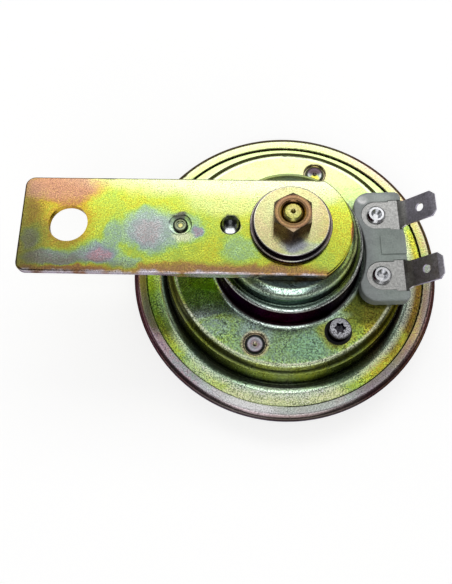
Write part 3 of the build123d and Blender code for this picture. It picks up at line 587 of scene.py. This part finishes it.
def worked_metal(name, tint, roughness, streak=(1, 1, 1), wander=0.14):
    """Bare metal with tool marks, which lie closer together along a streaked direction.

    Real marks are finer than this, and are drawn coarser so that they show.
    """
    mark_size = 0.4 * mm
    mark_depth = 0.01 * mm
    smoother = 0.05
    rougher = 0.1
    material, tree = new_finish(name)
    place = add(tree, "ShaderNodeTexCoord").outputs["Object"]
    drawn = add(tree, "ShaderNodeMapping", {"Vector": place, "Scale": streak}).outputs[0]
    marks = {"Vector": drawn, "Scale": 1 / mark_size, "Detail": 4.0}
    marks = add(tree, "ShaderNodeTexNoise", marks)
    smudge = {"Vector": place, "Scale": 1 / smear_size, "Detail": 3.0}
    smudge = add(tree, "ShaderNodeTexNoise", smudge)
    both = add(tree, "ShaderNodeMath", {0: marks.outputs["Fac"], 1: smudge.outputs["Fac"]})
    sockets = {
        "Value": both.outputs[0],
        "From Min": sum_low,
        "From Max": sum_high,
        "To Min": 1 - wander,
        "To Max": 1 + wander,
    }
    light = add(tree, "ShaderNodeMapRange", sockets)
    toned = {0: srgb(tint)[:3], "Scale": light.outputs[0]}
    toned = add(tree, "ShaderNodeVectorMath", toned, operation="SCALE")
    sockets = {
        "Value": smudge.outputs["Fac"],
        "To Min": roughness - smoother,
        "To Max": roughness + rougher,
    }
    dull = add(tree, "ShaderNodeMapRange", sockets)
    bump = {"Height": marks.outputs["Fac"], "Strength": 0.35, "Distance": mark_depth}
    bump = add(tree, "ShaderNodeBump", bump)
    sockets = {
        "Base Color": toned.outputs[0],
        "Metallic": 1.0,
        "Roughness": dull.outputs[0],
        "Normal": bump.outputs[0],
    }
    metal = add(tree, "ShaderNodeBsdfPrincipled", sockets)
    add(tree, "ShaderNodeOutputMaterial", {"Surface": metal.outputs[0]})
    return material


# Rolled spring steel: blue-grey and half dull, with the mill's fine lines.
spring_steel = worked_metal("rolled_spring_steel", "8b8f96", roughness=0.34, streak=(1, 8, 1))
finish(spring_steel, "diaphragm", "contact_leaf", "pusher_arm")

# Turned bright steel: pale and shiny.
bright_steel = worked_metal("bright_steel", "c3c5c8", roughness=0.22)
finish(bright_steel, "disc_spacer", "lock_washer")


# The nuts, washers and the core's stud end are turned and stamped steel with the same yellow
# passivation. It is more coppery on the nuts; the washers' edges carry dark purple painted shade.
# The nut and the two washers clamp the arm on the stud.
nut_zinc, tree = new_finish("coppery_passivated_nut")
place = add(tree, "ShaderNodeTexCoord").outputs["Object"]

# The film's one spot is in mm from the fixing hole, and the rest in mm from the horn's axis.
nut_film = [(59, -2, 4, 4, 0.5, 0.33)]
nut_colour = film(tree, place, nut_film, usual=0.22, drift=0.08, cloud=4)
axis_place = from_horn_axis(tree)
nut_colour = tinted(tree, axis_place, nut_colour, [(0, 0, 8, 8, 0.6, "5c5a50")])
# Painted shade in the bore, painted copper highlights on the top, and a pale painted reflection of
# the washer on the flanks.
nut_rings_and_painted_light = [
    (0.0, "302010", 0.95),
    (3.0, "302010", 0.95),
    (3.3, "a47c50", 0.5),
    (3.9, "5c4430", 0.6),
    (4.3, "c89c74", 0.6),
    (4.8, "7c5844", 0.6),
    (5.0, "a8967c", 0.6),
    (6.0, "a8967c", 0.8),
]
away = add(tree, "ShaderNodeVectorMath", {0: axis_place}, operation="LENGTH").outputs["Value"]
nut_colour = banded(tree, away, nut_colour, nut_rings_and_painted_light)
plated_surface(tree, nut_colour, roughness=0.24, sparkle=0.2)
finish(nut_zinc, "stud_nut", "disc_nut")

# Passivated washers: pale straw gold faces, with painted shade in dark purple on the rounded
# edges and a painted highlight on the upper arris.
washer_zinc, tree = new_finish("yellow_passivated_washer")
axis_place = from_horn_axis(tree)
plan = wandering(tree, axis_place, size=5 * mm, reach=4 * mm)
washer_film = [
    (4, -9, 7, 3, 0.6, 0.86),
    (9, 1, 3, 7, 0.5, 0.24),
]
washer_colour = film(tree, plan, washer_film, usual=0.38, drift=0.1, cloud=6)
washer_tints_and_painted_reflection = [
    (-2, 1, 14, 14, 0.65, "dcd8b4"),
    # the nut's painted bluish reflection on the face below it
    (0.3, -7.0, 3.6, 2.4, 0.85, "8c8ea0"),
]
washer_colour = tinted(tree, plan, washer_colour, washer_tints_and_painted_reflection)
washer_painted_light_rings = [
    # the upper washer's face, a painted highlight on its arris and painted shade on its edge
    (0.0, "f0ecea", 0.0),
    (10.0, "f0ecea", 0.0),
    (10.28, "f0ecea", 0.7),
    (10.45, "241430", 0.95),
    # what shows of the lower washer: painted shade with one pale painted line
    (11.0, "44344c", 0.9),
    (11.28, "b8acc4", 0.5),
    (11.42, "241430", 0.95),
    (12.0, "241430", 0.95),
]
away = add(tree, "ShaderNodeVectorMath", {0: axis_place}, operation="LENGTH").outputs["Value"]
washer_colour = banded(tree, away, washer_colour, washer_painted_light_rings)
plated_surface(tree, washer_colour, roughness=0.21, sparkle=0.2)
finish(washer_zinc, "upper_washer", "lower_washer")

# Passivated stud: an olive gold end with a darker middle and edge.
stud_zinc, tree = new_finish("yellow_passivated_stud")
axis_place = from_horn_axis(tree)
stud_colour = film(tree, axis_place, [], usual=0.4, drift=0.08, cloud=4)
stud_colour = tinted(tree, axis_place, stud_colour, [(0, 0, 3, 3, 0.6, "b8ac74")])
stud_rings = [
    (0.0, "5c5030", 0.8),
    (0.5, "6c6038", 0.6),
    (1.0, "f0e8b8", 0.2),
    (2.1, "f0e8b8", 0.0),
    (2.6, "6c5c30", 0.7),
    (3.0, "3c3018", 0.9),
]
away = add(tree, "ShaderNodeVectorMath", {0: axis_place}, operation="LENGTH").outputs["Value"]
stud_colour = banded(tree, away, stud_colour, stud_rings)
plated_surface(tree, stud_colour, roughness=0.25)
finish(stud_zinc, "pole_core")


# The mounting arm is a flat steel strip, stamped and yellow passivated, with a second, shorter strip
# under it. Both are clamped on the hub's top and joined by one sunk rivet.
# The film is lime in the middle, coppery by the edges, and grey and pink in patches.
arm_zinc, tree = new_finish("yellow_passivated_arm")
place = add(tree, "ShaderNodeTexCoord").outputs["Object"]
plan = wandering(tree, place, size=4 * mm, reach=4 * mm)

# All places are in mm from the fixing hole.
arm_film = [
    # the free end, and what lies round the fixing hole
    (-6, 0, 13, 18, 0.95, 0.36),
    (-3, 11.5, 12, 4.5, 0.95, 0.19),
    (-8, 5, 4, 6, 0.6, 0.26),
    (-10, -4.5, 3, 4, 0.85, 0.73),
    (-3, -10.5, 9, 2.8, 0.95, 0.78),
    (8.5, -8.5, 7, 3.5, 0.9, 0.78),
    (13, -3, 2.6, 5, 0.8, 0.7),
    (10, -9.5, 3.6, 2.6, 0.85, 0.91),
    (0, 0, 8.6, 8.6, 0.85, 0.42),
    (0, 0, 6.8, 6.8, 0.8, 0.25),
    (-1, 8, 6, 3, 0.8, 0.2),
    (0, -14.2, 14, 1.7, 0.85, 0.13),
    # patches along the middle, most of them grey or pink
    (20, 4, 4, 4, 0.5, 0.37),
    (23.5, -2, 8.5, 7, 1.0, 0.72),
    (22.5, -2.5, 4.5, 4.5, 0.8, 0.88),
    (22, 3.5, 3, 2.5, 0.7, 0.7),
    (34, -1, 4.5, 4.5, 0.85, 0.64),
    (36.5, -1.9, 1.6, 1.8, 0.7, 0.93),
    (48.4, -7, 6, 4.2, 0.7, 0.65),
    (41, -8, 2.5, 5, 0.6, 0.4),
    (17, -11.5, 5, 1.8, 0.7, 0.73),
    # the coppery lower edge and hub end
    (46, -14.5, 34, 2.4, 0.85, 0.16),
    (29, -12.9, 9, 1.4, 0.6, 0.24),
    (60, -12.4, 8, 1.6, 0.6, 0.24),
    (76, -3, 3.5, 11, 0.5, 0.36),
    (80.3, -4, 1.5, 13, 0.8, 0.14),
]
arm_colour = film(tree, plan, arm_film, usual=0.45, drift=0.06)
arm_tints_and_painted_light = [
    # the darker free end
    (-15, -4, 9, 20, 0.7, "5c5038"),
    (-6, -8, 12, 8, 0.4, "6c6444"),
    (4, -13, 16, 3, 0.4, "6c5c3c"),
    # a pale painted sheen along the upper edge
    (48, 16.5, 44, 7.5, 0.85, "e9edc2"),
    (46, 8.5, 13, 6, 0.4, "eef4bc"),
    (66, 12, 14, 6, 0.5, "ecebc4"),
    # painted highlight below the rivet; the grey patch, lower edge and free end; painted shade above
    # the rivet
    (32.5, -3.8, 3.2, 1.6, 0.7, "f0f2c8"),
    (24, -1, 8, 6, 0.3, "ccdccc"),
    (46, -13.4, 34, 2.2, 0.5, "8c7c5c"),
    (-3, 11.5, 12, 4.5, 0.35, "d0a494"),
    (31.4, 2.8, 2.4, 1.3, 0.85, "5c5464"),
    # the pip, silver grey, with painted shade above and a painted highlight below
    (45.6, 0, 2.6, 2.6, 0.9, "b4b8c4"),
    (45.6, 1.7, 2.6, 1.3, 0.9, "28282c"),
    (45.5, -1.4, 1.5, 1.1, 0.9, "f8fcff"),
    # painted shade along the upper and free cut edges, and a painted highlight along the lower one
    (34, 15.7, 70, 1.4, 0.9, "484c20"),
    (34, -15.5, 70, 1.5, 0.9, "ccc8d4"),
    (-14.7, 0, 1.4, 30, 0.9, "4a4242"),
]
arm_colour = tinted(tree, plan, arm_colour, arm_tints_and_painted_light)
rivet_low, rivet_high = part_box("arm_rivet")
rivet_x = (rivet_low.x + rivet_high.x) / 2
rivet_y = (rivet_low.y + rivet_high.y) / 2
dish_spot = (rivet_x / mm, rivet_y / mm, 3.5, 3.5, 0.85)
pip_glint = (45.5, -1.5, 1.7, 1.2, 0.6)
shares = {0: spot_share(tree, place, dish_spot), 1: spot_share(tree, place, pip_glint)}
softened = add(tree, "ShaderNodeMath", shares, operation="MAXIMUM").outputs[0]
plated_surface(tree, arm_colour, roughness=0.2, sparkle=0.3, softened=softened)
finish(arm_zinc, "mounting_arm", "arm_stiffener")

# Passivated rivet: grey-green with a gold middle, and painted light: painted shade in its dark
# rings, in violet above and olive to the right, and a cream painted highlight below. All places are
# in mm from the rivet's own axis.
dish_zinc, tree = new_finish("passivated_rivet_dish")
place = add(tree, "ShaderNodeTexCoord").outputs["Object"]
sockets = {"Vector": place, "Location": (-rivet_x, -rivet_y, 0), "Scale": (1, 1, 0)}
centred = add(tree, "ShaderNodeMapping", sockets).outputs[0]
dish_colour = film(tree, place, [], usual=0.68, drift=0.06)
dish_tints_and_painted_light = [
    (-0.4, 2.8, 2.6, 1.5, 0.95, "3c3448"),
    (2.5, 0.4, 1.0, 2.2, 0.8, "44482c"),
    (-0.5, -2.8, 2.8, 1.2, 0.8, "f0f4c8"),
    (0, 0, 0.7, 0.7, 1.0, "f2ee9c"),
]
dish_colour = tinted(tree, centred, dish_colour, dish_tints_and_painted_light)
dish_rings_and_painted_shade = [
    (0.0, "141410", 0.0),
    (0.5, "141410", 0.0),
    (0.8, "141410", 0.95),
    (1.0, "a8ac84", 0.6),
    (1.4, "a8ac84", 0.7),
    (1.7, "101410", 0.95),
    (2.2, "101410", 0.95),
    (2.5, "141410", 0.0),
    (4.0, "141410", 0.0),
]
away = add(tree, "ShaderNodeVectorMath", {0: centred}, operation="LENGTH").outputs["Value"]
dish_colour = banded(tree, away, dish_colour, dish_rings_and_painted_shade)
plated_surface(tree, dish_colour, roughness=0.2, sparkle=0.2)
finish(dish_zinc, "arm_rivet")


# The rivets of the yoke plate and of the terminals are steel. Those of the yoke plate are sunk in
# the plateau, with painted shade in a dark ring round a grey middle.
# Those of the terminals are bright, and flared over a dark crater.
sunk_zinc, tree = new_finish("sunk_rivet_steel")
axis_place = from_horn_axis(tree)

# The upper rivet is greener, with painted shade above it and a yellow painted highlight below.
sunk_film = [(0, 28, 30, 30, 0.5, 0.5)]
sunk_colour = film(tree, axis_place, sunk_film, usual=0.84, drift=0.12, speckle=0.4, cloud=3)
sunk_rings_and_painted_shade = [
    (0.0, "cfc888", 0.7),
    (0.7, "b4b098", 0.5),
    (1.2, "8c8894", 0.5),
    (1.9, "d4d4dc", 0.6),
    (2.3, "342c3c", 0.9),
    (3.6, "100810", 0.95),
]
sunk_colour = banded(tree, from_yoke_rivets(tree, axis_place), sunk_colour, sunk_rings_and_painted_shade)
upper_rivet = yoke_place / mm
sunk_painted_light = [
    (upper_rivet.x, upper_rivet.y + 1.6, 3.2, 1.9, 0.9, "44283a"),
    (upper_rivet.x, upper_rivet.y - 1.3, 1.5, 1.1, 0.9, "e6de48"),
]
sunk_colour = tinted(tree, axis_place, sunk_colour, sunk_painted_light)
plated_surface(tree, sunk_colour, roughness=0.24, sparkle=0.15)
finish(sunk_zinc, "yoke_rivet_a", "yoke_rivet_b")

# Pressed bright steel: the palest and shiniest metal on the horn.
rivet_steel = worked_metal("pressed_rivet_steel", "d4d5d8", roughness=0.2, wander=0.2)
finish(rivet_steel, "terminal_rivet_a", "terminal_rivet_b")


# The terminal block is grey filled phenolic, moulded to hug the hub and held by the two terminal
# rivets. Its skin is half matt and cloudy, with fine grain, and its middle is a little greener.
def moulded_surface(name, tint, roughness, wander=0.1, spots=()):
    """Moulded plastic, rubber, fibre or paper: an even skin with fine grain and cloudy tone.

    The real grain is finer than this, and is drawn coarser so that it shows.
    """
    grain_size = 0.5 * mm
    grain_depth = 0.012 * mm
    haze_size = 4 * mm
    material, tree = new_finish(name)
    place = add(tree, "ShaderNodeTexCoord").outputs["Object"]
    skin = {"Vector": place, "Scale": 1 / grain_size, "Detail": 4.0}
    skin = add(tree, "ShaderNodeTexNoise", skin)
    haze = {"Vector": place, "Scale": 1 / haze_size, "Detail": 3.0}
    haze = add(tree, "ShaderNodeTexNoise", haze)
    both = add(tree, "ShaderNodeMath", {0: skin.outputs["Fac"], 1: haze.outputs["Fac"]})
    sockets = {
        "Value": both.outputs[0],
        "From Min": sum_low,
        "From Max": sum_high,
        "To Min": 1 - wander,
        "To Max": 1 + wander,
    }
    light = add(tree, "ShaderNodeMapRange", sockets)
    colour = tinted(tree, place, srgb(tint), spots) if spots else srgb(tint)[:3]
    toned = {0: colour, "Scale": light.outputs[0]}
    toned = add(tree, "ShaderNodeVectorMath", toned, operation="SCALE")
    bump = {"Height": skin.outputs["Fac"], "Strength": 0.4, "Distance": grain_depth}
    bump = add(tree, "ShaderNodeBump", bump)
    sockets = {
        "Base Color": toned.outputs[0],
        "Roughness": roughness,
        "Normal": bump.outputs[0],
    }
    plastic = add(tree, "ShaderNodeBsdfPrincipled", sockets)
    add(tree, "ShaderNodeOutputMaterial", {"Surface": plastic.outputs[0]})
    return material


# The greener middle, a painted glint on the upper left corner, and a painted highlight along the
# upper end. All places are in mm from the fixing hole.
block_tints_and_painted_light = [
    (94, 1, 6, 18, 0.4, "94a498"),
    (85.8, 17.2, 1.6, 1.4, 0.9, "ffffff"),
    (90, 18, 6, 1.5, 0.6, "c4ccc8"),
]
phenolic = moulded_surface("grey_phenolic", "99a09f", roughness=0.42, wander=0.2, spots=block_tints_and_painted_light)
finish(phenolic, "terminal_block")


# The terminal blades are stamped brass with a dull tin coat, bent up and out for push-on
# connectors, and held by their rivets. The feet are a plain grey, the bend carries a pale painted
# highlight, and the free tongues are smudged a slightly violet grey, partly painted reflection.
blade_low, blade_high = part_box("terminal_blade_a")
foot_height = 1.3 * mm
smudge_size = 0.8 * mm
smudge_darkest = 0.78
smudge_palest = 1.2
tin, tree = new_finish("tarnished_tin_on_brass")
place = add(tree, "ShaderNodeTexCoord").outputs["Object"]
level_of = add(tree, "ShaderNodeSeparateXYZ", {"Vector": place})
smudges = {"Vector": place, "Scale": 1 / smudge_size, "Detail": 4.0}
smudges = add(tree, "ShaderNodeTexNoise", smudges)
sockets = {
    "Value": level_of.outputs["Z"],
    "From Min": blade_low.z,
    "From Max": blade_high.z,
}
climb = add(tree, "ShaderNodeMapRange", sockets)
foot_share = foot_height / (blade_high.z - blade_low.z)
# Rows are a share of the blade's height and a colour: the foot, the bend's painted highlight, then
# the tongue and its tip.
tin_shades_and_painted_highlight = [
    (0.0, srgb("a2a2a0")),
    (foot_share, srgb("acacaa")),
    (foot_share + 0.1, srgb("dcdcda")),
    (foot_share + 0.2, srgb("b8b4c2")),
    (0.9, srgb("aeaab8")),
    (1.0, srgb("c8c6d0")),
]
tin_colour = add(tree, "ShaderNodeValToRGB", {"Fac": climb.outputs[0]}, stops=tin_shades_and_painted_highlight)
sockets = {
    "Value": smudges.outputs["Fac"],
    "From Min": noise_low,
    "From Max": noise_high,
    "To Min": smudge_darkest,
    "To Max": smudge_palest,
}
light = add(tree, "ShaderNodeMapRange", sockets)
toned = {0: tin_colour.outputs[0], "Scale": light.outputs[0]}
toned = add(tree, "ShaderNodeVectorMath", toned, operation="SCALE")
plated_surface(tree, toned.outputs[0], roughness=0.34, sparkle=0.1)
finish(tin, "terminal_blade_a", "terminal_blade_b")


# The adjusting screw is bright steel with a six-lobed recess. It turns in a steel bush pressed into
# the plateau, and a black rubber ring keeps the wet out.
# The head's flat top is bright, and painted shade darkens it below its rim and in the recess.
screw_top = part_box("adjusting_screw")[1].z
recess_shade = 0.9 * mm
rim_shade = 0.2 * mm
screw_steel, tree = new_finish("silver_screw_steel")
place = add(tree, "ShaderNodeTexCoord").outputs["Object"]
level_of = add(tree, "ShaderNodeSeparateXYZ", {"Vector": place})
sockets = {
    "Value": level_of.outputs["Z"],
    "From Min": screw_top - recess_shade,
    "From Max": screw_top - rim_shade,
}
climb = add(tree, "ShaderNodeMapRange", sockets)
screw_painted_shade = [
    (0.0, srgb("3a383e")),
    (0.6, srgb("6c6a70")),
    (1.0, srgb("a8a8ae")),
]
screw_colour = add(tree, "ShaderNodeValToRGB", {"Fac": climb.outputs[0]}, stops=screw_painted_shade)
plated_surface(tree, screw_colour.outputs[0], roughness=0.18, sparkle=0.6)
finish(screw_steel, "adjusting_screw")

# Turned steel: mid grey with fine rings from the lathe.
turned_steel = worked_metal("turned_steel", "85868a", roughness=0.32, streak=(1, 1, 5))
finish(turned_steel, "screw_bush", "yoke_plate", "armature")

# Moulded rubber: matt black.
finish(moulded_surface("black_rubber", "101012", roughness=0.6), "screw_seal")


# The inner pieces make the magnet and the breaker: a coil of enamelled copper wire wound on a
# moulded spool, washers of red vulcanised fibre, a brass strip and lug, and hard grey contacts.
# They are clamped or riveted inside the housing, and none of them shows from outside.
wire_pitch = 0.5 * mm
ridge_depth = 0.1 * mm

# Moulded natural nylon: an even, milky cream.
natural_nylon = moulded_surface("natural_nylon", "cdc6b2", roughness=0.5)
finish(natural_nylon, "coil_bobbin")

# Enamelled copper: glossy brown turns, one beside the other. A Wave node repeats its bands every
# tau / 20 of a unit, so its scale is worked out from the pitch of the wire.
winding, tree = new_finish("enamelled_copper_turns")
place = add(tree, "ShaderNodeTexCoord").outputs["Object"]
sockets = {
    "Vector": place,
    "Scale": math.tau / (20 * wire_pitch),
    "Distortion": 0.4,
    "Detail": 1.0,
}
turns = add(tree, "ShaderNodeTexWave", sockets, bands_direction="Z")
copper_shades = [
    (0.0, srgb("4a1d0c")),
    (1.0, srgb("a8552a")),
]
tone = add(tree, "ShaderNodeValToRGB", {"Fac": turns.outputs["Fac"]}, stops=copper_shades)
ridge = {"Height": turns.outputs["Fac"], "Strength": 0.8, "Distance": ridge_depth}
ridge = add(tree, "ShaderNodeBump", ridge)
sockets = {
    "Base Color": tone.outputs[0],
    "Metallic": 0.8,
    "Roughness": 0.25,
    "Coat Weight": 0.6,
    "Normal": ridge.outputs[0],
}
wire = add(tree, "ShaderNodeBsdfPrincipled", sockets)
add(tree, "ShaderNodeOutputMaterial", {"Surface": wire.outputs[0]})
finish(winding, "coil_winding", "coil_lead_a", "coil_lead_b")

# Vulcanised fibre: a dull brick red, slightly cloudy.
red_fibre = moulded_surface("red_fibre", "74402f", roughness=0.65, wander=0.16)
finish(red_fibre, "coil_washer", "rivet_insulator_a", "rivet_insulator_b")
finish(red_fibre, "contact_spacer", "fibre_washer", "pusher_pin")

# Oiled paper: nearly black and dull.
gasket_paper = moulded_surface("oiled_gasket_paper", "1f1e1b", roughness=0.7, wander=0.2)
finish(gasket_paper, "front_gasket", "rear_gasket")

# Rolled brass: warm yellow, half dull, with the mill's fine lines.
rolled_brass = worked_metal("rolled_brass", "c9a456", roughness=0.3, streak=(1, 6, 1))
finish(rolled_brass, "contact_strip", "solder_lug")

# Tungsten: a plain grey with little shine.
tungsten = worked_metal("tungsten_contact", "8a8a8c", roughness=0.4)
finish(tungsten, "fixed_contact", "moving_contact")
